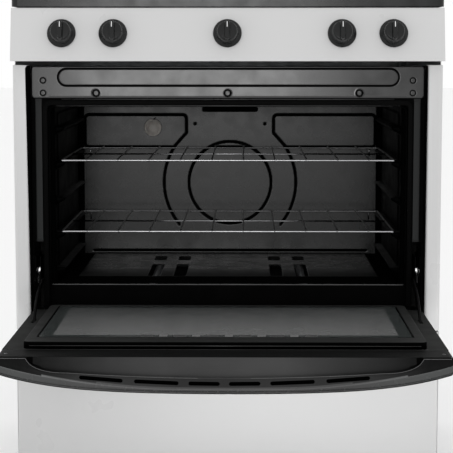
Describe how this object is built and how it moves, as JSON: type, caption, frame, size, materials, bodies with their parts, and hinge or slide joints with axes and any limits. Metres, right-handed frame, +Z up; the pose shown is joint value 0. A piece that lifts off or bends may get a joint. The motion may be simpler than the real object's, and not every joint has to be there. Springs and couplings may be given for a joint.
{
  "type": "freestanding gas range",
  "caption": "Freestanding gas range with a white body and black oven: open bowed-handle oven door, sliding racks, storage drawer, sealed burners, lift-off grates, turning knobs, low backguard.",
  "frame": {"origin": "on the floor under the middle of the bounding box, with the oven door open", "axes": "+Z up, the front with the oven door faces -Y, +X is to the right seen from the front"},
  "size_m": [0.759, 1.08, 1.19],
  "materials": {
    "white_enamel": "glossy white enamel",
    "black_enamel": "glossy black porcelain enamel",
    "grey_enamel": "semi-gloss charcoal enamel",
    "door_enamel": "semi-gloss black enamel",
    "black_plastic": "satin black moulded plastic",
    "cast_iron": "matt black enamelled cast iron",
    "cap_enamel": "matt black enamelled cap",
    "galvanised_steel": "plain zinc coated sheet",
    "hinge_steel": "plated hinge steel",
    "chrome_wire": "bright plated wire",
    "burner_aluminium": "cast aluminium",
    "dark_glass": "black tempered glass",
    "inner_glass": "grey heat reflecting glass",
    "lamp_glass": "ribbed lamp glass",
    "lamp_ceramic": "white socket ceramic",
    "gasket_fibre": "braided black fibre",
    "insulation_fibre": "mineral wool blanket"
  },
  "bodies": {
    "root": {"side_panel_left": "white_enamel", "side_panel_right": "white_enamel", "base_frame": "galvanised_steel", "levelling_foot_front_left": "galvanised_steel", "levelling_foot_front_right": "galvanised_steel", "levelling_foot_rear_left": "galvanised_steel", "levelling_foot_rear_right": "galvanised_steel", "back_panel": "galvanised_steel", "power_cord_gland": "black_plastic", "drawer_rail_left": "galvanised_steel", "drawer_rail_right": "galvanised_steel", "front_frame": "black_enamel", "front_top_rail": "grey_enamel", "oven_liner": "black_enamel", "oven_bottom": "black_enamel", "oven_gasket": "gasket_fibre", "bake_burner": "galvanised_steel", "broil_burner": "galvanised_steel", "oven_lamp_lens": "lamp_glass", "oven_lamp_socket": "lamp_ceramic", "oven_temperature_probe": "chrome_wire", "insulation_blanket": "insulation_fibre", "hinge_receiver_left": "hinge_steel", "hinge_receiver_right": "hinge_steel", "manifold_panel": "white_enamel", "gas_manifold": "burner_aluminium", "gas_regulator": "burner_aluminium", "gas_supply_tube": "galvanised_steel", "cooktop": "black_enamel", "backguard": "white_enamel", "clock_panel": "dark_glass", "backguard_rear_cover": "galvanised_steel", "burner_base_front_left": "burner_aluminium", "burner_cap_front_left": "cap_enamel", "burner_base_front_right": "burner_aluminium", "burner_cap_front_right": "cap_enamel", "burner_base_rear_left": "burner_aluminium", "burner_cap_rear_left": "cap_enamel", "burner_base_rear_right": "burner_aluminium", "burner_cap_rear_right": "cap_enamel"},
    "door": {"door_outer_skin": "black_enamel", "door_outer_glass": "dark_glass", "door_inner_panel": "door_enamel", "door_liner_plug": "door_enamel", "door_inner_glass": "inner_glass", "door_handle_cap": "black_plastic", "hinge_arm_left": "hinge_steel", "hinge_arm_right": "hinge_steel"},
    "drawer": {"drawer_front": "white_enamel", "drawer_box": "galvanised_steel"},
    "rack_upper": {"rack_upper": "chrome_wire"},
    "rack_lower": {"rack_lower": "chrome_wire"},
    "grate_left": {"grate_left": "cast_iron"},
    "grate_right": {"grate_right": "cast_iron"},
    "knob_front_left": {"knob_front_left": "black_plastic"},
    "knob_rear_left": {"knob_rear_left": "black_plastic"},
    "knob_oven": {"knob_oven": "black_plastic"},
    "knob_rear_right": {"knob_rear_right": "black_plastic"},
    "knob_front_right": {"knob_front_right": "black_plastic"}
  },
  "joints": [
    {"name": "door_hinge", "type": "hinge", "parent": "root", "child": "door", "pos_m": [0, -0.1, 0.343], "axis": [1, 0, 0], "range_deg": [-90, 0]},
    {"name": "drawer_slide", "type": "slide", "parent": "root", "child": "drawer", "axis": [0, -1, 0], "range_m": [0, 0.34]},
    {"name": "rack_upper_slide", "type": "slide", "parent": "root", "child": "rack_upper", "axis": [0, -1, 0], "range_m": [0, 0.3]},
    {"name": "rack_lower_slide", "type": "slide", "parent": "root", "child": "rack_lower", "axis": [0, -1, 0], "range_m": [0, 0.3]},
    {"name": "grate_left_lift", "type": "slide", "parent": "root", "child": "grate_left", "axis": [0, 0, 1], "range_m": [0, 0.1]},
    {"name": "grate_right_lift", "type": "slide", "parent": "root", "child": "grate_right", "axis": [0, 0, 1], "range_m": [0, 0.1]},
    {"name": "knob_front_left_turn", "type": "hinge", "parent": "root", "child": "knob_front_left", "pos_m": [-0.29, -0.12865, 0.845], "axis": [0, -0.9731, 0.2302], "range_deg": [0, 240]},
    {"name": "knob_rear_left_turn", "type": "hinge", "parent": "root", "child": "knob_rear_left", "pos_m": [-0.2, -0.12865, 0.845], "axis": [0, -0.9731, 0.2302], "range_deg": [0, 240]},
    {"name": "knob_oven_turn", "type": "hinge", "parent": "root", "child": "knob_oven", "pos_m": [0, -0.12865, 0.845], "axis": [0, -0.9731, 0.2302], "range_deg": [0, 290]},
    {"name": "knob_rear_right_turn", "type": "hinge", "parent": "root", "child": "knob_rear_right", "pos_m": [0.2, -0.12865, 0.845], "axis": [0, -0.9731, 0.2302], "range_deg": [0, 240]},
    {"name": "knob_front_right_turn", "type": "hinge", "parent": "root", "child": "knob_front_right", "pos_m": [0.29, -0.12865, 0.845], "axis": [0, -0.9731, 0.2302], "range_deg": [0, 240]}
  ]
}
